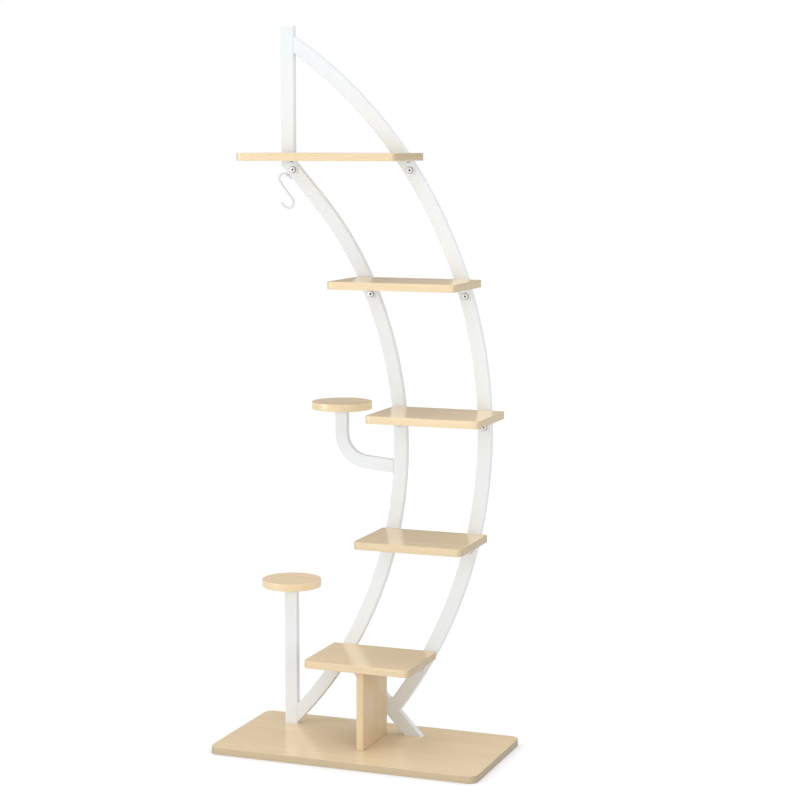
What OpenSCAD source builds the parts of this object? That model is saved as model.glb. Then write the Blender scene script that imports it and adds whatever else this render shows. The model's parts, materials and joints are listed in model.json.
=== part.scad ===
// Tiered plant stand: a flat frame of bent white tube on a wooden base,
// with five rectangular shelves in front of it and two round ones on its posts.
// Millimetres, +Z up, origin on the floor under the middle of the base board.
// The frame lies in one upright plane; +Y points to the back of the stand.

/* [Boards] */
// Thickness of every board
board_t = 16; // [12:1:20]
// Width of the base board
base_w = 600; // [580:5:760]
// Depth of the base board
base_d = 304; // [300:2:400]
// Corner radius of the base board
base_r = 20; // [8:1:40]
// Depth of the rectangular shelves
shelf_d = 175; // [165:1:190]
// Radius of the shelves' front corners
shelf_front_r = 14; // [6:1:24]
// Radius of the shelves' back corners
shelf_back_r = 4; // [2:1:12]
// Diameter of the round shelves
round_d = 130; // [116:1:140]

/* [Top shelf] */
// Width of the top shelf
shelf_1_w = 354; // [340:1:380]
// Middle of the top shelf, to the right of the base's middle
shelf_1_x = -73; // [-80:1:-66]
// Height of the top shelf's upper face
shelf_1_z = 1273; // [1268:1:1280]

/* [Second shelf] */
// Width of the second shelf
shelf_2_w = 280; // [270:1:310]
// Middle of the second shelf, to the right of the base's middle
shelf_2_x = 93; // [88:1:98]
// Height of the second shelf's upper face
shelf_2_z = 1011; // [980:1:1030]

/* [Third shelf] */
// Width of the third shelf
shelf_3_w = 248; // [240:1:260]
// Middle of the third shelf, to the right of the base's middle
shelf_3_x = 161; // [156:1:166]
// Height of the third shelf's upper face
shelf_3_z = 737; // [720:1:760]

/* [Fourth shelf] */
// Width of the fourth shelf
shelf_4_w = 238; // [230:1:250]
// Middle of the fourth shelf, to the right of the base's middle
shelf_4_x = 130; // [125:1:135]
// Height of the fourth shelf's upper face
shelf_4_z = 472; // [455:1:500]

/* [Lowest shelf] */
// Width of the lowest shelf
shelf_5_w = 238; // [232:1:250]
// Middle of the lowest shelf, to the right of the base's middle
shelf_5_x = 16; // [12:1:20]
// Height of the lowest shelf's upper face
shelf_5_z = 209; // [200:1:225]

/* [Frame tube] */
// Width of the frame tube, seen from the front
tube_w = 30; // [28:0.5:32]
// Depth of the frame tube, front to back
tube_d = 15; // [14:0.5:18]
// Wall of the frame tube
tube_wall = 1.5; // [1:0.1:2]
// Corner radius of the frame tube
tube_r = 2; // [1.6:0.1:3]
// Distance of the frame's front face behind the middle of the base
frame_y = 73.5; // [60:0.5:80]

/* [Posts] */
// Centreline of both posts, to the right of the base's middle
post_x = -207; // [-212:1:-202]
// Height of the top post, with its cap
post_top_z = 1540.5; // [1530:0.5:1560]
// Height of the lower round shelf's upper face
round_low_z = 341.5; // [300:0.5:380]

/* [Outer curve] */
// Height at which the outer curve bulges most
outer_mid_z = 685.5; // [680:0.5:692]
// Centreline of the outer curve at that height
outer_mid_x = 240.5; // [238:0.5:243]
// Centreline radius of its top section
outer_top_r = 966; // [955:1:978]
// Centreline radius of its middle section
outer_mid_r = 1005; // [990:1:1020]
// Centreline radius of its bottom section
outer_low_r = 1013; // [1000:1:1026]

/* [Inner curve] */
// Height at which the inner curve bulges most
inner_mid_z = 646.5; // [641:0.5:652]
// Centreline of the inner curve at that height
inner_mid_x = 51.5; // [48.5:0.5:54.5]
// Centreline radius of its top section
inner_top_r = 692; // [680:1:704]
// Centreline radius of its middle section
inner_mid_r = 850; // [840:1:860]
// Centreline radius of its bottom section
inner_low_r = 900; // [890:1:910]
// Turn of the top section, in degrees, at which it runs on straight
inner_turn = 41; // [40.2:0.1:41.6]

/* [Foot strut] */
// Where the strut's centreline meets the base, right of the base's middle
strut_x = 81; // [78:1:84]
// Lean of the strut from upright, in degrees
strut_lean = 43.3; // [42:0.1:44.5]

/* [Side arm] */
// Width of the side arm's tube, seen from the front
arm_w = 28; // [26:0.5:30]
// Centreline of the arm's upright leg
arm_x = -85.5; // [-95:0.5:-80]
// Height at which the arm meets the inner curve
arm_z = 606.5; // [595:0.5:625]
// Centreline radius of the arm's bend
arm_bend_r = 62; // [50:1:72]
// Fall of the arm's long leg towards the curve, in degrees
arm_fall = 5; // [2:0.5:8]
// Height of the upper round shelf's upper face
round_high_z = 741; // [725:0.5:780]

/* [Support board] */
// Middle of the support board, to the right of the base's middle
support_x = 13; // [8:1:18]
// Depth of the support board
support_d = 140; // [120:2:160]

/* [Shelf brackets] */
// Width of a bracket
bracket_w = 20; // [18:1:22]
// Length of a bracket's leg down the tube
bracket_down = 30; // [28:1:34]
// Length of a bracket's leg under the shelf
bracket_reach = 22; // [20:1:26]
// Thickness of the brackets and of the round shelves' plates
plate_t = 2; // [1.5:0.1:3]
// Depth of a bracket's bolt under the shelf
bolt_drop = 20; // [18:0.5:21]
// Distance of a bracket's wood screw in front of the tube
screw_out = 11; // [10.5:0.5:12]

/* [Bolts and screws] */
// Shank of the bracket bolts
bolt_d = 6; // [5:0.5:6]
// Head of the bracket bolts
bolt_head_d = 14.5; // [12:0.5:16]
// Height of the bracket bolts' heads
bolt_head_h = 3.2; // [2.6:0.1:4]
// Hexagon socket of the bracket bolts, across its flats
bolt_socket = 4; // [3:0.5:5]
// Diameter of the round nuts in the tubes
nut_d = 12; // [10:0.5:14]
// Height of those nuts
nut_h = 5; // [4:0.5:6]
// Shank of the wood screws
wood_screw_d = 4; // [3:0.5:4.5]
// Bite of a wood screw into its shelf
wood_screw_bite = 11; // [8:0.5:11]
// Shank of the two bolts that hold the frame to the base
base_bolt_d = 8; // [6:0.5:8]
// Length of those bolts under their heads
base_bolt_l = 28; // [22:1:30]
// Diameter of the wooden dowels
dowel_d = 8; // [6:0.5:8]
// Length of the wooden dowels
dowel_l = 30; // [24:1:34]

/* [Inner sleeves] */
// Length of a joint sleeve above its seam
sleeve_up = 30; // [26:1:36]
// Length of a joint sleeve below its seam
sleeve_down = 46; // [44:1:54]
// Wall of a joint sleeve
sleeve_wall = 1.5; // [1:0.1:1.8]
// Height of the sleeve screw above the seam
sleeve_screw_up = 15; // [12:1:18]
// Shank of the sleeve screws
sleeve_screw_d = 5; // [4:0.5:6]

/* [Hook] */
// Wire of the hook
hook_wire = 4.5; // [4:0.1:4.7]
// Centreline radius of the hook's two loops
hook_r = 12; // [11.5:0.5:13]
// Distance between the middles of the two loops
hook_span = 51.4; // [47:0.2:60]
// Lean of the line between the loops, in degrees
hook_lean = 10.2; // [8:0.2:12]
// Straight end of each loop
hook_tip = 12; // [8:0.5:12]
// Wire of the welded eye
eye_wire = 3; // [2.5:0.1:3.2]
// Half the eye's width, between the middles of its legs
eye_r = 4.6; // [4.5:0.1:5]
// Distance of the eye's bar from the tube
eye_drop = 8.6; // [8.3:0.1:10]
// Distance of the eye from the frame's knee, along the tube
eye_along = 17.5; // [15:0.5:22]

/* [Clearances] */
// Gap between a sleeve or plug and the tube round it
fit_gap = 0.3; // [0.2:0.05:0.4]
// Room round a shank in its hole, on the diameter
hole_play = 0.4; // [0.2:0.1:0.8]
// Room round a thread in its nut or pilot hole, on the diameter
thread_play = 0.1; // [0.05:0.05:0.2]
// Gap between the hook and the eye it hangs in
hook_gap = 0.3; // [0.2:0.05:0.5]

/* [Hidden] */
round_fn = 64;
curve_fn = 360;
far = 4000;
// A straight stretch laps the bend that it leaves; its solid is a hair thinner, its bore a hair wider
lap = 0.1;
hair = 0.04;

shelf_w = [shelf_1_w, shelf_2_w, shelf_3_w, shelf_4_w, shelf_5_w];
shelf_x = [shelf_1_x, shelf_2_x, shelf_3_x, shelf_4_x, shelf_5_x];
shelf_z = [shelf_1_z, shelf_2_z, shelf_3_z, shelf_4_z, shelf_5_z];
shelves = [0, 1, 2, 3, 4];
sides = [0, 1];

tube_y = frame_y + tube_d / 2;
tube_back_y = frame_y + tube_d;
bore_w = tube_w - 2 * tube_wall;
bore_d = tube_d - 2 * tube_wall;
bore_r = tube_r - tube_wall;
plug_w = bore_w - 2 * fit_gap;
plug_d = bore_d - 2 * fit_gap;
plug_r = 0.5;
post_right = post_x + tube_w / 2;

// Seams of the frame lie behind the second and the fourth shelf
seam_high = shelf_2_z - board_t / 2;
seam_low = shelf_4_z - board_t / 2;
seam_z = [seam_high, seam_low];

// A section of a curve is [centre x, centre z, centreline radius]
function turn_at(s, z) = asin((z - s[1]) / s[2]);
function x_at(s, z) = s[0] + s[2] * cos(turn_at(s, z));
function turn_to(s, x, out) = acos((x - s[0]) / (s[2] + out));
// The next section leaves a seam without a kink, with its own radius
function section_beyond(s, seam, r) =
    [s[0] + (s[2] - r) * cos(turn_at(s, seam)), s[1] + (s[2] - r) * sin(turn_at(s, seam)), r];
outer_middle = [outer_mid_x - outer_mid_r, outer_mid_z, outer_mid_r];
outer_top = section_beyond(outer_middle, seam_high, outer_top_r);
outer_low = section_beyond(outer_middle, seam_low, outer_low_r);
inner_middle = [inner_mid_x - inner_mid_r, inner_mid_z, inner_mid_r];
inner_top = section_beyond(inner_middle, seam_high, inner_top_r);
inner_low = section_beyond(inner_middle, seam_low, inner_low_r);
middles = [inner_middle, outer_middle];

// The inner curve's straight end runs from run_start up to the knee on the post
run_start = [inner_top[0] + inner_top_r * cos(inner_turn), inner_top[1] + inner_top_r * sin(inner_turn)];
run_down = [sin(inner_turn), -cos(inner_turn)];
run_out = [-cos(inner_turn), -sin(inner_turn)];
knee_z = run_start[1] + (run_start[0] - post_x) / tan(inner_turn);
knee = [post_x, knee_z];
// The mitre at the knee halves the bend between the post and the straight end
mitre_turn = 90 + inner_turn / 2;

function inner_x(z) =
    z > run_start[1] ? post_x + (knee_z - z) * tan(inner_turn)
    : x_at(z > seam_high ? inner_top : z > seam_low ? inner_middle : inner_low, z);
function outer_x(z) = x_at(z > seam_high ? outer_top : z > seam_low ? outer_middle : outer_low, z);
function side_x(side, z) = side == 0 ? inner_x(z) : outer_x(z);

function under(i) = shelf_z[i] - board_t;
function bolt_z(i) = under(i) - bolt_drop;
function at_seam(i) = i == 1 || i == 3;
bolt_hole_d = bolt_d + hole_play;
bolt_l = plate_t + tube_wall + fit_gap + sleeve_wall + nut_h;
socket_depth = 2;

screw_head_d = 8.5;
screw_head_h = 2.6;
screw_cross_w = 1.2;
screw_cross_l = 5;
screw_cross_depth = 1.2;
screw_hole_d = wood_screw_d + hole_play;
pilot_d = wood_screw_d + thread_play;

round_plate_w = 62;
round_plate_d = 30;
round_screw_x = 23;
post_low_top = round_low_z - board_t - plate_t;
arm_top = round_high_z - board_t - plate_t;

cap_t = 1.5;
cap_plug_l = 14;
post_tube_top = post_top_z - cap_t;

base_head_d = 14;
base_head_h = 4.5;
base_recess = 6;
base_recess_d = base_head_d + 2;
base_socket = 5;
foot_plug_l = 24;
strut_bolt_x = strut_x - foot_plug_l / 2 * tan(strut_lean);
base_bolt_x = [post_x, strut_bolt_x];

support_back = frame_y;
support_mid = support_back - support_d / 2;
fixing_y = [support_mid - support_d / 4, support_mid + support_d / 4];
support_screw_d = 5;
support_screw_l = 38;
support_head_d = 10;
support_head_h = 4;
support_recess = 5;
dowel_in_shelf = board_t * 0.65;

// The arm's bend is tangent to its upright leg and to its falling long leg
arm_end_x = inner_x(arm_z) - tube_w / 2;
arm_bend_x = arm_x + arm_bend_r;
arm_bend_z = arm_z + (arm_bend_r - (arm_bend_x - arm_end_x) * sin(arm_fall)) / cos(arm_fall);
arm_turn = 90 - arm_fall;
arm_low = [arm_bend_x - arm_bend_r * sin(arm_fall), arm_bend_z - arm_bend_r * cos(arm_fall)];
arm_leg_l = (arm_end_x - arm_low[0]) / cos(arm_fall) + tube_w;

// The hook hangs from the eye's bar with its middle straight below the bar
eye_foot = knee + run_out * tube_w / 2 + run_down * eye_along;
eye_bar = eye_foot + run_out * eye_drop;
hook_wire_r = hook_wire / 2;
bar_inset = hook_r - hook_wire_r - hook_gap - eye_wire / 2;
hook_half = hook_span / 2;
loop_dx = hook_half * sin(hook_lean);
loop_high = [eye_bar[0] - loop_dx, eye_bar[1] - sqrt(bar_inset ^ 2 - loop_dx ^ 2)];
hook_mid = [eye_bar[0], loop_high[1] - hook_half * cos(hook_lean)];
tip_turn = 45;
hook_round = 0.6;
shank_turn = 180 + hook_lean + asin(2 * hook_r / hook_span);

white = [0.93, 0.93, 0.92];
maple = [0.87, 0.75, 0.57];
zinc = [0.78, 0.79, 0.8];
steel = [0.6, 0.6, 0.62];
beech = [0.8, 0.62, 0.4];

// Flat rectangle with round corners, centred
module rounded(w, d, r) {
    square([w - 2 * r, d], center = true);
    square([w, d - 2 * r], center = true);
    for (x = [-1, 1], y = [-1, 1])
        translate([x * (w / 2 - r), y * (d / 2 - r)]) circle(r, $fn = round_fn);
}

// Half space on the far side of a point of the frame's plane, along a turn from +X to +Z
module half_space(p, turn) {
    translate([p[0], 0, p[1]]) rotate([0, -turn, 0])
        translate([0, -far / 2, -far / 2]) cube([far, far, far]);
}

// Bar that leaves a point of the frame's plane along a turn from +X to +Z
module bar(p, turn, length, w, d, r) {
    translate([p[0], tube_y, p[1]]) rotate([0, 90 - turn, 0])
        linear_extrude(length) rounded(w, d, r);
}

// Bent bar round a centre of the frame's plane, from one turn to another
module bent_bar(centre, radius, from, to, w, d, r) {
    translate([centre[0], tube_y, centre[1]]) rotate([90, 0, 0]) rotate([0, 0, from])
        rotate_extrude(angle = to - from, $fn = curve_fn)
            translate([radius, 0]) rounded(w, d, r);
}

// Round bar square to the frame's plane
module cross_pin(x, z, y0, y1, d) {
    translate([x, y1, z]) rotate([90, 0, 0]) cylinder(h = y1 - y0, d = d, $fn = round_fn);
}

// Upright round bar
module stud(x, y, z0, z1, d) {
    translate([x, y, z0]) cylinder(h = z1 - z0, d = d, $fn = round_fn);
}

// Straight bar that carries on a bend, with a step in its section
module run_bar(p, turn, length, w, d, r, step) {
    bar(p - lap * [cos(turn), sin(turn)], turn, length + lap, w + step, d + step, r);
}

// Bent bar along a section of a curve, from one turn to another
module section_bar(s, from, to, w, d, r) {
    bent_bar([s[0], s[1]], s[2], from, to, w, d, r);
}

// Hollow section of a curve, with its bore run on past both ends
module section_tube(s, from, to) {
    difference() {
        section_bar(s, from, to, tube_w, tube_d, tube_r);
        section_bar(s, from - 1, to + 1, bore_w, bore_d, bore_r);
    }
}

// Everything within a section's centreline, pushed out by a distance
module inside_section(s, out) {
    translate([s[0], tube_y, s[1]]) rotate([90, 0, 0])
        cylinder(h = 4 * tube_d, r = s[2] + out, center = true, $fn = curve_fn);
}

// Holes for the bolts that hold the brackets of the given shelves on one side
module bolt_holes(side, list) {
    for (i = list)
        cross_pin(side_x(side, bolt_z(i)), bolt_z(i), frame_y - tube_d, tube_y, bolt_hole_d);
}

// Holes for the sleeve screws in the back of one side
module sleeve_holes(side, play) {
    for (z = seam_z)
        cross_pin(side_x(side, z + sleeve_screw_up), z + sleeve_screw_up,
            tube_y, tube_back_y + tube_d, sleeve_screw_d + play);
}

module base_board() {
    color(maple) difference() {
        linear_extrude(board_t) rounded(base_w, base_d, base_r);
        for (x = base_bolt_x) {
            stud(x, tube_y, -board_t, 2 * board_t, base_bolt_d + hole_play);
            stud(x, tube_y, -board_t, base_recess, base_recess_d);
        }
        for (y = fixing_y) {
            stud(support_x, y, -board_t, 2 * board_t, support_screw_d + hole_play);
            stud(support_x, y, -board_t, support_recess, support_head_d + hole_play);
        }
    }
}

module support_board() {
    top = under(4);
    color(maple) difference() {
        translate([support_x - board_t / 2, support_back - support_d, board_t])
            cube([board_t, support_d, top - board_t]);
        for (y = fixing_y) {
            stud(support_x, y, 0, support_recess + support_screw_l, support_screw_d + thread_play);
            stud(support_x, y, top + dowel_in_shelf - dowel_l, top + board_t, dowel_d + thread_play);
        }
    }
}

// Outline of a shelf with large front corners and small back ones
module shelf_outline(w) {
    fr = shelf_front_r;
    br = shelf_back_r;
    translate([0, frame_y - shelf_d]) {
        translate([-w / 2, fr]) square([w, shelf_d - fr - br]);
        translate([-w / 2 + fr, 0]) square([w - 2 * fr, shelf_d - br]);
        translate([-w / 2 + br, fr]) square([w - 2 * br, shelf_d - fr]);
        for (s = [-1, 1]) {
            translate([s * (w / 2 - fr), fr]) circle(fr, $fn = round_fn);
            translate([s * (w / 2 - br), shelf_d - br]) circle(br, $fn = round_fn);
        }
    }
}

module shelf(i) {
    color(maple) difference() {
        translate([shelf_x[i], 0, under(i)]) linear_extrude(board_t) shelf_outline(shelf_w[i]);
        for (side = sides)
            stud(side_x(side, bolt_z(i)), frame_y - screw_out,
                under(i) - board_t, under(i) + wood_screw_bite, pilot_d);
        if (i == 4)
            for (y = fixing_y)
                stud(support_x, y, under(i) - board_t, under(i) + dowel_in_shelf, dowel_d + thread_play);
    }
}

module round_shelf(x, z) {
    color(maple) difference() {
        stud(x, tube_y, z - board_t, z, round_d);
        for (s = [-1, 1])
            stud(x + s * round_screw_x, tube_y, z - 2 * board_t, z - board_t + wood_screw_bite, pilot_d);
    }
}

module top_post() {
    color(white) difference() {
        bar([post_x, knee_z - tube_w], 90, post_tube_top - knee_z + tube_w, tube_w, tube_d, tube_r);
        bar([post_x, knee_z - 2 * tube_w], 90, far, bore_w, bore_d, bore_r);
        half_space(knee, mitre_turn + 180);
    }
}

module lower_post() {
    color(white) difference() {
        bar([post_x, board_t], 90, post_low_top - board_t, tube_w, tube_d, tube_r);
        bar([post_x, -board_t], 90, far, bore_w, bore_d, bore_r);
    }
}

// Solid or bore of the bent side arm
module arm_bar(w, d, r, over, step) {
    run_bar([arm_x, arm_bend_z], 90, arm_top - arm_bend_z + over, w, d, r, step);
    bent_bar([arm_bend_x, arm_bend_z], arm_bend_r, 180, 180 + arm_turn, w, d, r);
    run_bar(arm_low, -arm_fall, arm_leg_l, w, d, r, step);
}

// The arm ends on the inner curve's near face
module side_arm() {
    color(white) intersection() {
        difference() {
            arm_bar(arm_w, tube_d, tube_r, 0, -hair);
            arm_bar(arm_w - 2 * tube_wall, bore_d, bore_r, tube_w, hair);
        }
        inside_section(inner_middle, -tube_w / 2);
    }
}

// Length of the strut, long enough to run into the inner curve
strut_l = (shelf_5_z + tube_w) / cos(strut_lean);
strut_turn = 90 + strut_lean;

// Solid or bore of the foot strut, starting on the floor, within the base
module strut_bar(w, d, r) {
    bar([strut_x + board_t * tan(strut_lean), 0], strut_turn, strut_l, w, d, r);
}

module foot_strut() {
    color(white) difference() {
        strut_bar(tube_w, tube_d, tube_r);
        strut_bar(bore_w, bore_d, bore_r);
        inside_section(inner_low, tube_w / 2);
        half_space([0, board_t], -90);
    }
}

// The upper edge of the outer curve's top reaches the post last
module outer_curve_top() {
    color(white) difference() {
        section_tube(outer_top, turn_at(outer_top, seam_high), turn_to(outer_top, post_right, tube_w / 2));
        half_space([post_right, 0], 180);
        bolt_holes(1, [0]);
        sleeve_holes(1, hole_play);
    }
}

module outer_curve_middle() {
    color(white) difference() {
        section_tube(outer_middle, turn_at(outer_middle, seam_low), turn_at(outer_middle, seam_high));
        bolt_holes(1, [1, 2]);
        sleeve_holes(1, hole_play);
    }
}

module outer_curve_bottom() {
    foot = [strut_x + tube_w / 2 / cos(strut_lean), board_t];
    color(white) difference() {
        section_tube(outer_low, turn_at(outer_low, board_t), turn_at(outer_low, seam_low));
        half_space(foot, 180 + strut_lean);
        bolt_holes(1, [3, 4]);
    }
}

module inner_curve_top() {
    run_l = norm(run_start - knee);
    turn_up = 90 + inner_turn;
    from = turn_at(inner_top, seam_high);
    color(white) difference() {
        union() {
            section_bar(inner_top, from, inner_turn, tube_w, tube_d, tube_r);
            run_bar(run_start, turn_up, run_l + tube_w, tube_w, tube_d, tube_r, -hair);
        }
        section_bar(inner_top, from - 1, inner_turn, bore_w, bore_d, bore_r);
        run_bar(run_start, turn_up, run_l + 2 * tube_w, bore_w, bore_d, bore_r, hair);
        half_space(knee, mitre_turn);
        bolt_holes(0, [0]);
        sleeve_holes(0, hole_play);
    }
}

module inner_curve_middle() {
    color(white) difference() {
        section_tube(inner_middle, turn_at(inner_middle, seam_low), turn_at(inner_middle, seam_high));
        bolt_holes(0, [1, 2]);
        sleeve_holes(0, hole_play);
    }
}

// The outer edge of the inner curve's bottom reaches the post last
module inner_curve_bottom() {
    color(white) difference() {
        section_tube(inner_low, -turn_to(inner_low, post_right, tube_w / 2), turn_at(inner_low, seam_low));
        half_space([post_right, 0], 180);
        half_space([0, board_t], -90);
        bolt_holes(0, [3, 4]);
    }
}

// Hollow sleeve inside a seam, with its bolt and screw holes
module sleeve(side, seam, i) {
    s = middles[side];
    from = turn_at(s, seam) - sleeve_down / s[2] * 180 / PI;
    to = turn_at(s, seam) + sleeve_up / s[2] * 180 / PI;
    color(zinc) difference() {
        section_bar(s, from, to, plug_w, plug_d, plug_r);
        section_bar(s, from - 1, to + 1, plug_w - 2 * sleeve_wall, plug_d - 2 * sleeve_wall, plug_r);
        bolt_holes(side, [i]);
        sleeve_holes(side, thread_play);
    }
}

// Pan head with a cross recess, its flat side up at the origin
module pan_head() {
    difference() {
        translate([0, 0, -screw_head_h]) cylinder(h = screw_head_h, d1 = screw_head_d - 2,
            d2 = screw_head_d, $fn = round_fn);
        for (a = [0, 90])
            rotate([0, 0, a]) translate([0, 0, -screw_head_h])
                cube([screw_cross_l, screw_cross_w, 2 * screw_cross_depth], center = true);
    }
}

// Wood screw driven up from below; its head's flat side is at z
module wood_screw(x, y, z, length) {
    translate([x, y, z]) {
        pan_head();
        cylinder(h = length, d = wood_screw_d, $fn = round_fn);
    }
}

module sleeve_screws() {
    color(white) for (side = sides, z = seam_z)
        translate([side_x(side, z + sleeve_screw_up), tube_back_y, z + sleeve_screw_up])
            rotate([90, 0, 0]) {
                pan_head();
                cylinder(h = tube_wall + fit_gap + sleeve_wall + 1, d = sleeve_screw_d, $fn = round_fn);
            }
}

module post_cap() {
    color(white) {
        bar([post_x, post_tube_top], 90, cap_t, tube_w, tube_d, tube_r);
        difference() {
            bar([post_x, post_tube_top - cap_plug_l], 90, cap_plug_l, plug_w, plug_d, plug_r);
            bar([post_x, post_tube_top - cap_plug_l - 1], 90, cap_plug_l, plug_w - 4, plug_d - 4, plug_r);
        }
    }
}

// Plate welded on a post's top, under a round shelf
module round_plate(x, z) {
    color(white) difference() {
        translate([x, tube_y, z]) linear_extrude(plate_t) rounded(round_plate_w, round_plate_d, 4);
        for (s = [-1, 1])
            stud(x + s * round_screw_x, tube_y, z - 1, z + 2 * plate_t, screw_hole_d);
    }
}

module round_shelf_screws() {
    color(zinc) for (s = [-1, 1]) {
        wood_screw(post_x + s * round_screw_x, tube_y, post_low_top, plate_t + wood_screw_bite - 0.5);
        wood_screw(arm_x + s * round_screw_x, tube_y, arm_top, plate_t + wood_screw_bite - 0.5);
    }
}

// Angle bracket under a shelf, centred on its bolt
module bracket(side, i) {
    x = side_x(side, bolt_z(i));
    color(white) difference() {
        union() {
            translate([x - bracket_w / 2, frame_y - bracket_reach, under(i) - plate_t])
                cube([bracket_w, bracket_reach, plate_t]);
            translate([x - bracket_w / 2, frame_y - plate_t, under(i) - bracket_down])
                cube([bracket_w, plate_t, bracket_down]);
        }
        cross_pin(x, bolt_z(i), frame_y - 2 * plate_t, frame_y + 1, bolt_hole_d);
        stud(x, frame_y - screw_out, under(i) - 2 * plate_t, under(i) + 1, screw_hole_d);
    }
}

module shelf_brackets(i) {
    for (side = sides) bracket(side, i);
}

module bracket_bolts() {
    color(zinc) for (side = sides, i = shelves)
        translate([side_x(side, bolt_z(i)), frame_y - plate_t, bolt_z(i)]) rotate([90, 0, 0])
            difference() {
                union() {
                    translate([0, 0, -bolt_l]) cylinder(h = bolt_l, d = bolt_d, $fn = round_fn);
                    cylinder(h = bolt_head_h * 0.4, d = bolt_head_d, $fn = round_fn);
                    translate([0, 0, bolt_head_h * 0.4])
                        cylinder(h = bolt_head_h * 0.6, d1 = bolt_head_d, d2 = bolt_head_d * 0.72,
                            $fn = round_fn);
                }
                translate([0, 0, bolt_head_h - socket_depth])
                    cylinder(h = bolt_head_h, d = bolt_socket / cos(30), $fn = 6);
            }
}

module bracket_nuts() {
    color(zinc) for (side = sides, i = shelves) {
        y = frame_y + tube_wall + (at_seam(i) ? fit_gap + sleeve_wall : 0);
        difference() {
            cross_pin(side_x(side, bolt_z(i)), bolt_z(i), y, y + nut_h, nut_d);
            cross_pin(side_x(side, bolt_z(i)), bolt_z(i), y - 1, y + nut_h + 1, bolt_d + thread_play);
        }
    }
}

module shelf_screws() {
    color(zinc) for (side = sides, i = shelves)
        wood_screw(side_x(side, bolt_z(i)), frame_y - screw_out, under(i) - plate_t,
            plate_t + wood_screw_bite - 0.5);
}

module post_foot_plug() {
    color(steel) difference() {
        bar([post_x, board_t], 90, foot_plug_l, plug_w, plug_d, plug_r);
        stud(post_x, tube_y, 0, board_t + 2 * foot_plug_l, base_bolt_d + thread_play);
    }
}

module strut_foot_plug() {
    color(steel) difference() {
        strut_bar(plug_w, plug_d, plug_r);
        half_space([0, board_t], -90);
        half_space([0, board_t + foot_plug_l], 90);
        stud(strut_bolt_x, tube_y, 0, board_t + 2 * foot_plug_l, base_bolt_d + thread_play);
    }
}

module base_bolts() {
    color(zinc) for (x = base_bolt_x)
        difference() {
            union() {
                stud(x, tube_y, base_recess - base_head_h, base_recess, base_head_d);
                stud(x, tube_y, base_recess, base_recess + base_bolt_l, base_bolt_d);
            }
            translate([x, tube_y, 0]) cylinder(h = base_recess - base_head_h / 3,
                d = base_socket / cos(30), $fn = 6);
        }
}

module support_screws() {
    color(zinc) for (y = fixing_y)
        difference() {
            union() {
                stud(support_x, y, support_recess - support_head_h, support_recess, support_head_d);
                stud(support_x, y, support_recess, support_recess + support_screw_l, support_screw_d);
            }
            translate([support_x, y, 0]) cylinder(h = support_recess - support_head_h / 3,
                d = 4 / cos(30), $fn = 6);
        }
}

module support_dowels() {
    color(beech) for (y = fixing_y)
        stud(support_x, y, under(4) + dowel_in_shelf - dowel_l, under(4) + dowel_in_shelf, dowel_d);
}

// Staple welded under the knee: two legs and a half ring, square to the tube
module hook_eye() {
    leg_l = eye_drop - eye_r;
    color(white)
        translate([eye_foot[0], tube_y, eye_foot[1]]) rotate([0, 90 - inner_turn - 180, 0]) {
            for (s = [-1, 1])
                translate([0, s * eye_r, 0]) cylinder(h = leg_l, d = eye_wire, $fn = round_fn);
            translate([0, 0, leg_l]) rotate([90, 0, 90])
                rotate_extrude(angle = 180, $fn = round_fn)
                    translate([eye_r, 0]) circle(d = eye_wire, $fn = 32);
        }
}

// Loop of the hook round the origin, with its straight tip, in the frame's plane
module hook_loop() {
    tip_r = hook_wire_r - hair / 2;
    rotate([90, 0, 0]) rotate([0, 0, tip_turn]) {
        rotate_extrude(angle = shank_turn - tip_turn, $fn = 2 * round_fn)
            translate([hook_r, 0]) circle(d = hook_wire, $fn = 32);
        translate([hook_r, lap, 0]) rotate([90, 0, 0]) rotate_extrude($fn = 32)
            polygon([[0, 0], [tip_r, 0], [tip_r, hook_tip - hook_round],
                [tip_r - hook_round, hook_tip], [0, hook_tip]]);
    }
}

// The lower loop is the upper one turned half round; the shank is tangent to both
module s_hook() {
    shank_l = sqrt(hook_span ^ 2 - 4 * hook_r ^ 2);
    color(white) translate([hook_mid[0], tube_y, hook_mid[1]]) {
        for (half = [0, 180])
            rotate([0, half, 0]) translate([-loop_dx, 0, hook_half * cos(hook_lean)]) hook_loop();
        rotate([0, 180 - shank_turn, 0])
            cylinder(h = shank_l + 2 * lap, d = hook_wire - hair, center = true, $fn = 32);
    }
}

base_board();
support_board();
shelf(0);  // shelf_1
shelf(1);  // shelf_2
shelf(2);  // shelf_3
shelf(3);  // shelf_4
shelf(4);  // shelf_5
round_shelf(arm_x, round_high_z);  // round_shelf_upper
round_shelf(post_x, round_low_z);  // round_shelf_lower
top_post();
lower_post();
side_arm();
foot_strut();
outer_curve_top();
outer_curve_middle();
outer_curve_bottom();
inner_curve_top();
inner_curve_middle();
inner_curve_bottom();
sleeve(1, seam_high, 1);  // outer_sleeve_upper
sleeve(1, seam_low, 3);  // outer_sleeve_lower
sleeve(0, seam_high, 1);  // inner_sleeve_upper
sleeve(0, seam_low, 3);  // inner_sleeve_lower
sleeve_screws();
post_cap();
round_plate(arm_x, arm_top);  // upper_round_plate
round_plate(post_x, post_low_top);  // lower_round_plate
round_shelf_screws();
shelf_brackets(0);  // shelf_1_brackets
shelf_brackets(1);  // shelf_2_brackets
shelf_brackets(2);  // shelf_3_brackets
shelf_brackets(3);  // shelf_4_brackets
shelf_brackets(4);  // shelf_5_brackets
bracket_bolts();
bracket_nuts();
shelf_screws();
post_foot_plug();
strut_foot_plug();
base_bolts();
support_screws();
support_dowels();
hook_eye();
s_hook();
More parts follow.
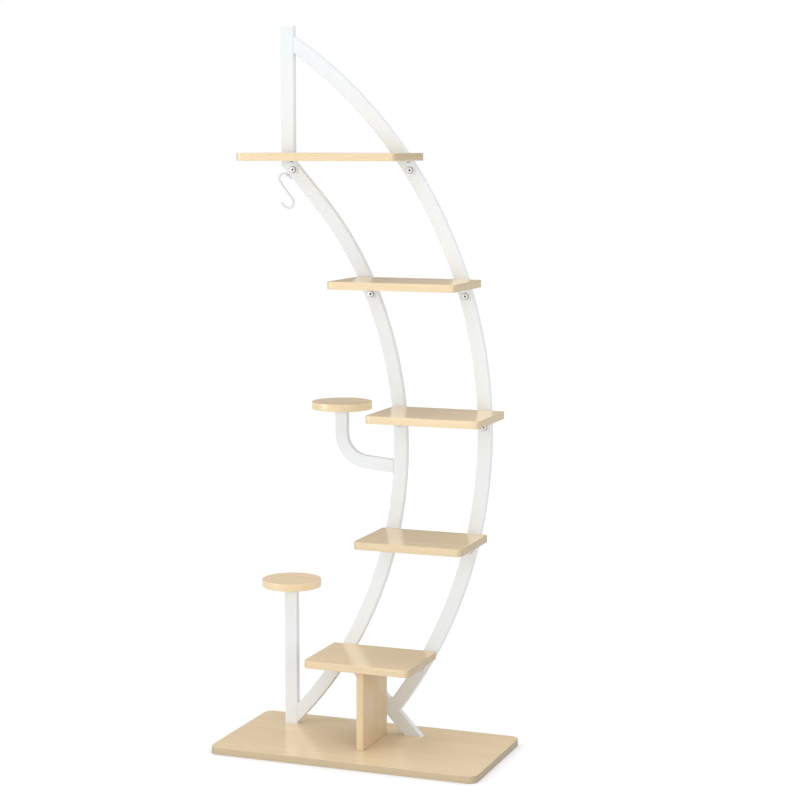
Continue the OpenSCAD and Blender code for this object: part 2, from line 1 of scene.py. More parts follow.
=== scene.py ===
"""Looks of a tiered plant stand, dressed around its packed construction.

Every length is in metres, in the frame of the construction: +Z up, the origin on the floor
under the middle of the base board, +Y from the shelves to the bent tubes behind them.
"""

from __future__ import annotations

import json
import logging
import math
from dataclasses import dataclass, field
from enum import Enum

import bpy
import numpy as np
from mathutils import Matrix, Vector, geometry

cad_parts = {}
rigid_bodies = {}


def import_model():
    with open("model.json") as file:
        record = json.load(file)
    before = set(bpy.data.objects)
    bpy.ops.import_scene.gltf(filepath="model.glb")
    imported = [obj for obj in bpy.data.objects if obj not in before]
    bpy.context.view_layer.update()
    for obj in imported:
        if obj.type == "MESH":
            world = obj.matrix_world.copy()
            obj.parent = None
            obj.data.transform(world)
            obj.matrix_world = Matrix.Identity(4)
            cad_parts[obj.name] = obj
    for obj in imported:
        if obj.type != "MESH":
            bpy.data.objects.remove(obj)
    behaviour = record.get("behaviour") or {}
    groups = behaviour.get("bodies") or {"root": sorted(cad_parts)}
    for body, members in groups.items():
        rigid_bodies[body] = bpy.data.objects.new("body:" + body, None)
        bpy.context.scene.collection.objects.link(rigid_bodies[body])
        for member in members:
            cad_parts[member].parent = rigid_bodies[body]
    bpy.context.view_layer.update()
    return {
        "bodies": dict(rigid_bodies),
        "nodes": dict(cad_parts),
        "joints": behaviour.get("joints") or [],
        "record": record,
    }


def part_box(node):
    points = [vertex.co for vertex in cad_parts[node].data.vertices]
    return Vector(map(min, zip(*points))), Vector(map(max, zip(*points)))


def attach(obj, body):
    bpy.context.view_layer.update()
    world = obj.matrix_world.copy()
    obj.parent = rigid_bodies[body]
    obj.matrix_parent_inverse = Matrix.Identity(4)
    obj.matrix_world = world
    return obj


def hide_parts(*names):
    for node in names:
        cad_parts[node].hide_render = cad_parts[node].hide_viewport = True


log = logging.getLogger("plant_stand")

MM = 0.001

# Numbers of the rectangular shelves, the first on top
SHELVES = range(1, 6)

Colour = tuple[float, float, float]
Point = tuple[float, float, float]

# x, y, radius and depth of a sunk hole
Recess = tuple[float, float, float, float]


class Slot(Enum):
    """Finishes that the record names."""

    BOARD = "board"
    FRAME = "white_frame"
    BOLTS = "plated_bolts"
    CAP = "white_cap"
    WIRE = "white_wire"
    ZINC = "zinc_screws"
    STEEL = "inner_steel"
    DOWEL = "dowel"


class Grain(Enum):
    """Direction of a board's grain, as the noise scale along X, Y and Z, per metre."""

    ALONG_X = (9.0, 240.0, 240.0)
    ALONG_Z = (240.0, 240.0, 9.0)


class Body(Enum):
    """Rigid bodies of the stand."""

    FRAME = "frame"
    HOOK = "hook"


def full_turn(count: int) -> np.ndarray:
    """Angles of the points of a closed ring, evenly spaced, in radians."""
    return np.linspace(0, 2 * np.pi, count, endpoint=False)


def quarter_turn(steps: int) -> np.ndarray:
    """Angles from 0 to 90 degrees in even steps, in radians."""
    return np.radians(np.linspace(0, 90, steps + 1))


def directions(path: np.ndarray) -> np.ndarray:
    """Unit tangents of a path: the central difference at each point, over its length."""
    tangent = np.gradient(path, axis=0)
    return tangent / np.linalg.norm(tangent, axis=1, keepdims=True)


def round_outline(low: np.ndarray, high: np.ndarray, radii: tuple[float, float], inset: np.ndarray,
                  steps: int) -> np.ndarray:
    """Rectangle with round corners, drawn inwards by several insets at once.

    A corner is a quarter circle about its own centre, so an inset only takes from its radius.

    Args:
        low: lowest x and y.
        high: highest x and y.
        radii: radius of the two front corners, and of the two back ones.
        inset: array (rows,) of distances inwards.
        steps: segments in a corner.

    Returns:
        Array (rows, 4 * (steps + 1), 2), counterclockwise seen from above.
    """
    front, back = radii
    centres = np.array([
        [high[0] - back, high[1] - back], [low[0] + back, high[1] - back],
        [low[0] + front, low[1] + front], [high[0] - front, low[1] + front]])
    radius = np.array([back, back, front, front])
    turn = np.radians(90 * np.arange(4)[:, None] + np.linspace(0, 90, steps + 1)[None, :])
    out = np.stack([np.cos(turn), np.sin(turn)], axis=-1)
    reach = radius[None, :] - inset[:, None]
    points = centres[None, :, None, :] + reach[:, :, None, None] * out[None]
    return points.reshape(len(inset), -1, 2)


def at_heights(outlines: np.ndarray, heights: np.ndarray) -> np.ndarray:
    """Lifts each flat outline to its own height.

    Args:
        outlines: array (rows, cols, 2) of x and y.
        heights: array (rows,) of z.

    Returns:
        Array (rows, cols, 3) of rings.
    """
    level = np.broadcast_to(heights[:, None, None], (*outlines.shape[:2], 1))
    return np.concatenate([outlines, level], axis=2)


def grid_faces(rows: int, cols: int) -> np.ndarray:
    """Quads of a grid whose columns close on themselves.

    Args:
        rows: number of rings.
        cols: number of points in each ring.

    Returns:
        An array of shape ((rows - 1) * cols, 4); quad (i, j) joins ring i to ring i + 1.
    """
    i, j = np.meshgrid(np.arange(rows - 1), np.arange(cols), indexing="ij")
    k = (j + 1) % cols
    quads = np.stack([i * cols + j, i * cols + k, (i + 1) * cols + k, (i + 1) * cols + j], axis=-1)
    return quads.reshape(-1, 4)


def add_object(name: str, data: bpy.types.ID) -> bpy.types.Object:
    """Puts data in the scene as a new object at the origin.

    Args:
        name: the object's name.
        data: its mesh, lamp or camera.

    Returns:
        The object.
    """
    obj = bpy.data.objects.new(name, data)
    bpy.context.scene.collection.objects.link(obj)
    return obj


@dataclass
class Shell:
    """Vertices and faces of a closed surface, gathered ring by ring."""

    points: list[np.ndarray] = field(default_factory=list)
    faces: list[list[int]] = field(default_factory=list)
    inner: list[tuple[int, int]] = field(default_factory=list)
    count: int = 0

    def add_rings(self, rings: np.ndarray, start_cap: bool = True, end_cap: bool = True,
                  painted_shade_from: int | None = None) -> None:
        """Adds a skin over rings, with a flat face over either end.

        Args:
            rings: array (rows, cols, 3); seen from outside, the rings run so that the quads
                of grid_faces point outwards.
            start_cap: closes the first ring.
            end_cap: closes the last ring.
            painted_shade_from: the ring from which the skin takes the piece's second finish, a painted
                shade.
        """
        rows, cols = rings.shape[:2]
        first = self.count
        self.points.append(rings.reshape(-1, 3))
        self.faces += (grid_faces(rows, cols) + first).tolist()
        if painted_shade_from is not None:
            painted_shade_faces = (rows - 1 - painted_shade_from) * cols
            self.inner.append((len(self.faces) - painted_shade_faces, len(self.faces) + end_cap))
        if end_cap:
            last = first + (rows - 1) * cols
            self.faces.append(list(range(last, last + cols)))
        if start_cap:
            self.faces.append(list(range(first + cols - 1, first - 1, -1)))
        self.count += rows * cols

    def to_object(self, name: str, smooth_below: float = 40.0) -> bpy.types.Object:
        """Makes the mesh object, smooth except across edges sharper than an angle.

        Args:
            name: the piece's name.
            smooth_below: the angle, in degrees.

        Returns:
            The new object, linked to the scene, at the origin.
        """
        mesh = bpy.data.meshes.new(name)
        mesh.from_pydata(np.concatenate(self.points).tolist(), [], self.faces)
        mesh.shade_smooth()
        finish = np.zeros(len(mesh.polygons), dtype=np.int32)
        for first, last in self.inner:
            finish[first:last] = 1
        mesh.polygons.foreach_set("material_index", finish)
        mesh.set_sharp_from_angle(angle=math.radians(smooth_below))
        return add_object(name, mesh)


@dataclass(frozen=True)
class NodeTree:
    """A shader's node tree while it is being wired."""

    tree: bpy.types.NodeTree

    def add(self, kind: str, values: dict[str | int, object],
            **options: object) -> bpy.types.bpy_prop_collection:
        """Adds a node, sets its options and then its inputs.

        Args:
            kind: the node's type.
            values: input to the socket that feeds it, or to its constant.
            options: the node's own settings.

        Returns:
            The node's outputs.
        """
        node = self.tree.nodes.new(kind)
        for option, value in options.items():
            setattr(node, option, value)
        for name, value in values.items():
            if isinstance(value, bpy.types.NodeSocket):
                self.tree.links.new(value, node.inputs[name])
            else:
                node.inputs[name].default_value = value
        return node.outputs

    def reckon(self, operation: str, *values: object, clamp: bool = False) -> bpy.types.NodeSocket:
        """Adds one sum of a Math node.

        Args:
            operation: the kind of sum.
            values: its terms, each a socket or a number.
            clamp: keeps the result between 0 and 1.

        Returns:
            The result's socket.
        """
        terms = dict(enumerate(values))
        return self.add("ShaderNodeMath", terms, operation=operation, use_clamp=clamp)[0]


def new_material(name: str) -> tuple[bpy.types.Material, NodeTree]:
    """Makes an empty node material.

    Args:
        name: the material's name.

    Returns:
        The material and its node tree.
    """
    material = bpy.data.materials.new(name)
    material.use_nodes = True
    material.node_tree.nodes.clear()
    return material, NodeTree(material.node_tree)


class ShaderGroups:
    """Node groups that several finishes share, each built once."""

    def __init__(self) -> None:
        """Builds the groups."""
        self.grain = self._grain()
        self.peel = self._peel()
        self.painted_light_and_shade = self._painted_light_and_shade()

    @staticmethod
    def _new(name: str, inputs: dict[str, tuple[str, float | None]],
             outputs: tuple[str, ...]) -> tuple[NodeTree, bpy.types.bpy_prop_collection]:
        """Makes a group with named sockets.

        Args:
            name: the group's name.
            inputs: socket name to its type and default.
            outputs: names of the outputs, which are numbers.

        Returns:
            The group's node tree, and the sockets that bring its inputs.
        """
        group = bpy.data.node_groups.new(name, "ShaderNodeTree")
        for socket, (kind, default) in inputs.items():
            made = group.interface.new_socket(name=socket, in_out="INPUT", socket_type=kind)
            if default is not None:
                made.default_value = default
        for socket in outputs:
            group.interface.new_socket(name=socket, in_out="OUTPUT", socket_type="NodeSocketFloat")
        nodes = NodeTree(group)
        return nodes, nodes.add("NodeGroupInput", {})

    def _grain(self) -> bpy.types.NodeTree:
        """Fine wood grain: long streaks, broad clouds and short pores.

        The tone is a weighted sum of two noises stretched along the grain, and the pores
        are the lowest part of a third, finer noise.

        Returns:
            The group.
        """
        nodes, given = self._new(
            "wood_grain",
            {"Vector": ("NodeSocketVector", None), "Streaks": ("NodeSocketFloat", 0.6),
             "Pores": ("NodeSocketFloat", 0.5)},
            ("Tone", "Height"))
        pore_below, pore_fades_at = 0.3, 0.42

        def noise(scale: float, detail: float, rough: float) -> bpy.types.NodeSocket:
            """Adds a noise of the stretched coordinates.

            Args:
                scale: spots per unit.
                detail: octaves.
                rough: share of each finer octave.

            Returns:
                The noise's socket.
            """
            return nodes.add("ShaderNodeTexNoise", {
                "Vector": given["Vector"], "Scale": scale, "Detail": detail, "Roughness": rough})["Fac"]

        streaks = noise(scale=1.7, detail=5.0, rough=0.62)
        clouds = noise(scale=0.12, detail=3.0, rough=0.5)
        pores = noise(scale=6.0, detail=2.0, rough=0.5)
        mixed = nodes.add("ShaderNodeMix", {"Factor": given["Streaks"], "A": clouds, "B": streaks},
                          data_type="FLOAT")
        spots = nodes.add("ShaderNodeMapRange", {
            "Value": pores, "From Min": pore_below, "From Max": pore_fades_at})
        depth = nodes.reckon("MULTIPLY", nodes.reckon("SUBTRACT", 1.0, spots["Result"]), given["Pores"])
        tone = nodes.reckon("SUBTRACT", mixed["Result"], depth, clamp=True)
        nodes.add("NodeGroupOutput", {"Tone": tone, "Height": tone})
        return nodes.tree

    def _painted_light_and_shade(self) -> bpy.types.NodeTree:
        """Painted light and shade of a face by the axis that it looks along.

        The tone is one, less the loss of each axis times the square of the normal's share
        along it, so a flat face takes its own axis's painted tone in full.

        Returns:
            The group.
        """
        nodes, given = self._new(
            "painted_light_and_shade_by_face",
            {"Normal": ("NodeSocketVector", None), "Loss": ("NodeSocketVector", None)},
            ("Tone",))
        square = nodes.add("ShaderNodeVectorMath", {0: given["Normal"], 1: given["Normal"]},
                           operation="MULTIPLY")
        loss = nodes.add("ShaderNodeVectorMath", {0: square["Vector"], 1: given["Loss"]},
                         operation="DOT_PRODUCT")
        nodes.add("NodeGroupOutput", {"Tone": nodes.reckon("SUBTRACT", 1.0, loss["Value"])})
        return nodes.tree

    def _peel(self) -> bpy.types.NodeTree:
        """Skin of a sprayed coat: fine waves as height, and broad faint clouds as tone.

        Returns:
            The group.
        """
        nodes, given = self._new(
            "coat_skin",
            {"Vector": ("NodeSocketVector", None), "Waves": ("NodeSocketFloat", 900.0)},
            ("Tone", "Height"))
        fine = nodes.add("ShaderNodeTexNoise", {
            "Vector": given["Vector"], "Scale": given["Waves"], "Detail": 2.0})
        broad = nodes.add("ShaderNodeTexNoise", {
            "Vector": given["Vector"], "Scale": 14.0, "Detail": 3.0})
        nodes.add("NodeGroupOutput", {"Tone": broad["Fac"], "Height": fine["Fac"]})
        return nodes.tree

    def with_painted_light_and_shade(self, nodes: NodeTree, normal: bpy.types.NodeSocket, colour: bpy.types.NodeSocket,
              painted_light_and_shade: Colour) -> bpy.types.NodeSocket:
        """Multiplies a colour by the painted light and shade of the axis that a face looks along.

        Args:
            nodes: the material's node tree.
            normal: the face's normal, in the piece's own space.
            colour: the colour.
            painted_light_and_shade: painted tones of the faces that look along X, Y and Z.

        Returns:
            The shaded colour's socket.
        """
        # Painted light and shade: the colour is multiplied by a tone chosen by the face's direction.
        shade_of_face = nodes.add("ShaderNodeGroup", {"Normal": normal, "Loss": tuple(1 - tone for tone in painted_light_and_shade)},
                        node_tree=self.painted_light_and_shade)
        return nodes.add("ShaderNodeMix", {"Factor": 1.0, "A": colour, "B": shade_of_face["Tone"]},
                         data_type="RGBA", blend_type="MULTIPLY")["Result"]


@dataclass(frozen=True)
class Maple:
    """Light maple laminate under a satin varnish.

    The tones in facing are painted light and shade of the faces that look along X, Y and Z.
    The grain's tone runs from dark at pale_from to light at pale_to.
    """

    light: Colour = (0.895, 0.72, 0.48)
    dark: Colour = (0.815, 0.64, 0.40)
    painted_light_and_shade: Colour = (0.72, 0.97, 1.0)
    streaks: float = 0.62
    pores: float = 0.18
    pale_from: float = 0.34
    pale_to: float = 0.62
    roughness: float = 0.2
    shine: float = 0.5
    bump: float = 0.012
    bump_depth: float = 0.2 * MM

    def material(self, name: str, groups: ShaderGroups, grain: Grain) -> bpy.types.Material:
        """Builds the finish for one direction of grain.

        Args:
            name: the material's name.
            groups: the shared node groups.
            grain: direction of the grain.

        Returns:
            The material.
        """
        material, nodes = new_material(name)
        coords = nodes.add("ShaderNodeTexCoord", {})
        stretch = nodes.add("ShaderNodeMapping", {"Vector": coords["Object"], "Scale": grain.value})
        wood = nodes.add("ShaderNodeGroup", {
            "Vector": stretch["Vector"], "Streaks": self.streaks, "Pores": self.pores,
        }, node_tree=groups.grain)
        pale = nodes.add("ShaderNodeMapRange", {
            "Value": wood["Tone"], "From Min": self.pale_from, "From Max": self.pale_to})
        colour = nodes.add("ShaderNodeMix", {
            "Factor": pale["Result"], "A": (*self.dark, 1.0), "B": (*self.light, 1.0),
        }, data_type="RGBA")
        bump = nodes.add("ShaderNodeBump", {
            "Height": wood["Height"], "Strength": self.bump, "Distance": self.bump_depth})
        shader = nodes.add("ShaderNodeBsdfPrincipled", {
            "Base Color": groups.with_painted_light_and_shade(nodes, coords["Normal"], colour["Result"], self.painted_light_and_shade),
            "Roughness": self.roughness, "Specular IOR Level": self.shine, "Normal": bump["Normal"]})
        nodes.add("ShaderNodeOutputMaterial", {"Surface": shader["BSDF"]})
        return material


@dataclass(frozen=True)
class Coated:
    """Sprayed, moulded or plated surface with a faint skin and clouds of tone.

    The tones in facing are painted light and shade of the faces that look along X, Y and Z,
    such as painted shade on the rims of bolt heads and the sides of the wire.
    """

    colour: Colour
    roughness: float
    metallic: float = 0.0
    cloud: float = 0.02
    waves: float = 900.0
    bump: float = 0.02
    bump_depth: float = 0.1 * MM
    painted_light_and_shade: Colour = (1.0, 1.0, 1.0)

    def material(self, name: str, groups: ShaderGroups) -> bpy.types.Material:
        """Builds the finish.

        Args:
            name: the material's name.
            groups: the shared node groups.

        Returns:
            The material.
        """
        material, nodes = new_material(name)
        coords = nodes.add("ShaderNodeTexCoord", {})
        skin = nodes.add("ShaderNodeGroup", {"Vector": coords["Object"], "Waves": self.waves},
                         node_tree=groups.peel)
        colour = nodes.add("ShaderNodeMix", {
            "Factor": skin["Tone"],
            "A": (*(c * (1 - self.cloud) for c in self.colour), 1.0),
            "B": (*(min(1.0, c * (1 + self.cloud)) for c in self.colour), 1.0),
        }, data_type="RGBA")
        bump = nodes.add("ShaderNodeBump", {
            "Height": skin["Height"], "Strength": self.bump, "Distance": self.bump_depth})
        shader = nodes.add("ShaderNodeBsdfPrincipled", {
            "Base Color": groups.with_painted_light_and_shade(nodes, coords["Normal"], colour["Result"], self.painted_light_and_shade),
            "Roughness": self.roughness, "Metallic": self.metallic, "Normal": bump["Normal"]})
        nodes.add("ShaderNodeOutputMaterial", {"Surface": shader["BSDF"]})
        return material


class Finishes:
    """Every finish of the stand, by the record's slot and, for some boards, by node."""

    white: Colour = (0.795, 0.825, 0.848)
    zinc: Colour = (0.4, 0.4, 0.405)
    steel: Colour = (0.5, 0.5, 0.51)
    wire: Colour = (0.8, 0.82, 0.83)
    plating: Colour = (0.84, 0.845, 0.85)
    shade: Colour = (0.17, 0.17, 0.172)

    def __init__(self) -> None:
        """Builds the node groups and the materials."""
        groups = ShaderGroups()
        # Painted light and shade: copies of one maple whose faces are darkened or lightened by direction,
        # the ends darkest, the lower boards and base darker, the round shelves' tops lighter.
        self.flat_board = Maple(painted_light_and_shade=(0.72, 0.97, 1.04)).material("maple_shelf_painted_light_and_shade", groups, Grain.ALONG_X)
        lower = Maple(painted_light_and_shade=(0.62, 0.88, 0.99)).material("maple_lower_shelf_painted_shade", groups, Grain.ALONG_X)
        small = Maple(painted_light_and_shade=(0.97, 0.97, 1.09)).material("maple_round_shelf_painted_light_and_shade", groups, Grain.ALONG_X)
        base = Maple(painted_light_and_shade=(0.48, 0.66, 0.94)).material("maple_base_painted_shade", groups, Grain.ALONG_X)
        upright = Maple(painted_light_and_shade=(0.79, 0.86, 0.6)).material("maple_upright_painted_shade", groups, Grain.ALONG_Z)
        self.by_board = {
            "round_shelf_upper": small, "round_shelf_lower": small, "shelf_4": lower, "shelf_5": lower,
            "base_board": base, "support_board": upright,
        }
        coats = {
            Slot.FRAME: Coated(self.white, roughness=0.6, cloud=0.01, bump=0.01),
            # Painted shade: the bolt heads' rims and sides, which face along X and Z, are darkened to a
            # tenth, a dark ring round each head.
            Slot.BOLTS: Coated(self.plating, roughness=0.3, metallic=0.25, painted_light_and_shade=(0.1, 1.0, 0.1)),
            Slot.CAP: Coated(self.white, roughness=0.5, cloud=0.01, waves=1400.0),
            # Painted shade: the wire's sides, which face along X and Z, are darker.
            Slot.WIRE: Coated(self.wire, roughness=0.3, painted_light_and_shade=(0.85, 1.0, 0.85)),
            Slot.ZINC: Coated(self.zinc, roughness=0.4, metallic=1.0, cloud=0.06),
            Slot.STEEL: Coated(self.steel, roughness=0.45, metallic=1.0, cloud=0.1, bump=0.05),
        }
        self.by_slot = {slot: coat.material(slot.value, groups) for slot, coat in coats.items()}
        # Painted shade: a near-black finish inside the bolts' hexagon sockets, where shade falls.
        painted_socket_coat = Coated(self.shade, roughness=0.6, metallic=0.3, cloud=0.2)
        self.socket = painted_socket_coat.material("painted_socket_shade", groups)
        self.by_slot[Slot.BOARD] = self.flat_board
        self.by_slot[Slot.DOWEL] = Maple(
            light=(0.66, 0.48, 0.28), dark=(0.5, 0.35, 0.19), roughness=0.6,
        ).material("beech_dowel", groups, Grain.ALONG_Z)


@dataclass
class Stand:
    """What the pieces share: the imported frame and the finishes."""

    frame: dict
    finishes: Finishes

    def dress(self, piece: bpy.types.Object, slot: Slot, nodes: tuple[str, ...], body: Body = Body.FRAME,
              material: bpy.types.Material | None = None) -> None:
        """Gives a new piece its finish, its body and the nodes that it stands for.

        Args:
            piece: the new object.
            slot: its finish.
            nodes: the nodes that it replaces.
            body: the body that it rides on.
            material: a finish other than the slot's own.
        """
        piece.data.materials.append(material or self.finishes.by_slot[slot])
        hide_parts(*nodes)
        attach(piece, body.value)
        log.info("%s: %d faces, for %s", piece.name, len(piece.data.polygons), ", ".join(nodes))

    def dress_frame(self) -> None:
        """Gives every node that is still shown the finish of its slot."""
        for row in self.frame["record"]["subparts"]:
            node = self.frame["nodes"][row["node"]]
            if node.hide_render:
                continue
            material = self.finishes.by_slot[Slot(row["material_slot"])]
            for place in node.material_slots:
                place.material = material
            log.info("%s: finish %s", row["node"], material.name)


@dataclass
class Boards:
    """The wooden boards, with softly broken edges and the sunk holes under the base.

    edge is the radius of the quarter round along the edges, and rim the width of the first
    ring of flat face inside it. Radii are those of the front and the back corners, and a
    recess is a radius and a depth.
    """

    stand: Stand
    edge: float = 1.1 * MM
    edge_steps: int = 5
    rim: float = 0.6 * MM
    shelf_radii: tuple[float, float] = (14 * MM, 4 * MM)
    base_radii: tuple[float, float] = (20 * MM, 20 * MM)
    upright_radii: tuple[float, float] = (1.2 * MM, 1.2 * MM)
    corner_steps: int = 14
    disc_steps: int = 36
    bolt_recess: tuple[float, float] = (8 * MM, 6 * MM)
    screw_recess: tuple[float, float] = (5.2 * MM, 5 * MM)
    recess_steps: int = 40

    def build(self) -> None:
        """Builds every board."""
        for number in SHELVES:
            self._flat(f"shelf_{number}", self.shelf_radii)
        for name in ("round_shelf_upper", "round_shelf_lower"):
            low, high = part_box(name)
            self._flat(name, ((high.x - low.x) / 2,) * 2, steps=self.disc_steps)
        self._flat("base_board", self.base_radii, self._recesses())
        self._flat("support_board", self.upright_radii)

    def _recesses(self) -> list[Recess]:
        """The sunk holes under the base, for two bolts along X and two screws along Y.

        Each pair's box ends half a head past its middles.

        Returns:
            x, y, radius and depth of each hole.
        """
        found = []
        for node, axis, (radius, depth) in (("base_bolts", 0, self.bolt_recess),
                                            ("support_screws", 1, self.screw_recess)):
            low, high = (np.array(corner.xy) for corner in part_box(node))
            head = (high - low)[1 - axis] / 2
            for along in (low[axis] + head, high[axis] - head):
                middle = (low + high) / 2
                middle[axis] = along
                found.append((*middle, radius, depth))
        return found

    def _profile(self, low: float, high: float) -> tuple[np.ndarray, np.ndarray]:
        """Inset and height of each ring: up the side, with a quarter round at both edges.

        Args:
            low: height of the underside.
            high: height of the top.

        Returns:
            Arrays of insets and heights, from the underside's rim to that of the top.
        """
        turn = quarter_turn(self.edge_steps)
        rise = self.edge * (1 - np.cos(turn))
        under = self.edge * (1 - np.sin(turn))
        rim = [self.edge + self.rim]
        inset = np.concatenate([rim, under, under[::-1], rim])
        height = np.concatenate([[low], low + rise, high - rise[::-1], [high]])
        return inset, height

    def _flat(self, node: str, radii: tuple[float, float], recesses: list[Recess] | None = None,
              steps: int | None = None) -> None:
        """Builds one board in its node's own space.

        Args:
            node: the node that it stands for.
            radii: radius of the front and of the back corners.
            recesses: sunk holes from below, as x, y, radius and depth.
            steps: segments in a corner, where not the usual number.
        """
        low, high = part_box(node)
        inset, height = self._profile(low.z, high.z)
        outline = round_outline(np.array(low.xy), np.array(high.xy), radii, inset,
                                steps or self.corner_steps)
        rings = at_heights(outline, height)
        shell = Shell()
        shell.add_rings(rings, start_cap=not recesses)
        if recesses:
            self._pierced_underside(shell, rings[0], recesses)
        piece = shell.to_object(f"{node}_finished")
        finish = self.stand.finishes.by_board.get(node, self.stand.finishes.flat_board)
        self.stand.dress(piece, Slot.BOARD, (node,), material=finish)

    def _pierced_underside(self, shell: Shell, outline: np.ndarray, recesses: list[Recess]) -> None:
        """Closes the underside round the sunk holes, and builds the holes' walls and floors.

        Args:
            shell: the board so far; outline is its first ring.
            outline: array (n, 3).
            recesses: sunk holes, as x, y, radius and depth.
        """
        turn = full_turn(self.recess_steps)
        loops, index = [outline], [np.arange(len(outline))]
        for x, y, radius, depth in recesses:
            mouth = np.stack([x + radius * np.cos(turn), y + radius * np.sin(turn),
                              np.full_like(turn, outline[0, 2])], axis=1)
            rings = np.stack([mouth, mouth + [0, 0, depth]])[:, ::-1]
            index.append(shell.count + np.arange(self.recess_steps))
            loops.append(rings[0])
            shell.add_rings(rings, start_cap=False)
        flat, points = np.concatenate(index), np.concatenate(loops)
        for a, b, c in geometry.tessellate_polygon([[Vector(p) for p in loop] for loop in loops]):
            normal = np.cross(points[b] - points[a], points[c] - points[a])
            order = (a, b, c) if normal[2] < 0 else (a, c, b)
            shell.faces.append([int(flat[k]) for k in order])


@dataclass
class Brackets:
    """Bent steel angles under the shelves.

    bend is the bend's radius in the middle of the plate, corner that of the plate's four
    corners, and soft the rounding of the edges of its section. soft_points are the distances
    inwards of the points of such an edge, as shares of soft.
    """

    stand: Stand
    plate: float = 2 * MM
    width: float = 20 * MM
    bend: float = 2 * MM
    bend_steps: int = 8
    corner: float = 4 * MM
    corner_steps: int = 6
    soft: float = 0.3 * MM
    soft_points: tuple[float, ...] = (0.0, 0.3, 1.0)

    def build(self) -> None:
        """Builds the two angles of each shelf."""
        for number in SHELVES:
            node = f"shelf_{number}_brackets"
            low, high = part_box(node)
            shell = Shell()
            for middle in self.middles(number):
                shell.add_rings(self._angle(middle, low, high))
            self.stand.dress(shell.to_object(f"{node}_bent"), Slot.FRAME, (node,))

    def middles(self, number: int) -> tuple[float, float]:
        """Middles of a shelf's two angles, along X."""
        low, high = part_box(f"shelf_{number}_brackets")
        return low.x + self.width / 2, high.x - self.width / 2

    def _angle(self, middle: float, low: Vector, high: Vector) -> np.ndarray:
        """One angle: a thin soft-edged section carried under the shelf, round the bend, down the tube.

        The half width at a distance from either end follows a quarter circle, which rounds
        the plate's four corners.

        Args:
            middle: the angle's middle, along X.
            low: lowest corner of both angles.
            high: highest corner of both angles.

        Returns:
            Array (rows, cols, 3) of rings.
        """
        path = self._angle_path(low, high)
        tangent = directions(path)
        tangent[: self.corner_steps + 1] = (1, 0)
        tangent[-self.corner_steps - 1:] = (0, -1)
        normal = np.stack([-tangent[:, 1], tangent[:, 0]], axis=1)
        run = np.concatenate([[0], np.cumsum(np.linalg.norm(np.diff(path, axis=0), axis=1))])
        end = np.minimum(run, run[-1] - run).clip(0, self.corner)
        short = self.corner - np.sqrt(self.corner**2 - (self.corner - end) ** 2)
        wide = (self.width / 2 - short)[:, None]
        fade = np.array(self.soft_points) * self.soft
        pull = np.concatenate([fade, fade[::-1], fade, fade[::-1]])
        thin = np.concatenate([fade[::-1], fade, fade[::-1], fade])
        side = np.repeat([1.0, -1.0, -1.0, 1.0], len(fade))
        face = np.repeat([-1.0, -1.0, 1.0, 1.0], len(fade))
        lift = face * (self.plate / 2 - thin)
        x = middle + side * (wide - pull)
        y = path[:, :1] + normal[:, :1] * lift
        z = path[:, 1:] + normal[:, 1:] * lift
        return np.stack([x, y, z], axis=2)[:, ::-1]

    def _angle_path(self, low: Vector, high: Vector) -> np.ndarray:
        """Middle of the plate's thickness: along Y, a quarter circle, then down.

        Args:
            low: lowest corner of both angles.
            high: highest corner of both angles.

        Returns:
            Array (n, 2) of y and z.
        """
        back, top = high.y - self.plate / 2, high.z - self.plate / 2
        near = self.corner * (1 - np.cos(quarter_turn(self.corner_steps)))
        flat = np.concatenate([low.y + near, [back - self.bend]])
        turn = quarter_turn(self.bend_steps)[::-1]
        bend = np.stack([back - self.bend + self.bend * np.cos(turn),
                         top - self.bend + self.bend * np.sin(turn)], axis=1)
        down = np.concatenate([[top - self.bend], (low.z + near)[::-1]])
        return np.concatenate([
            np.stack([flat, np.full_like(flat, top)], axis=1)[:-1], bend,
            np.stack([np.full_like(down, back), down], axis=1)[1:]])


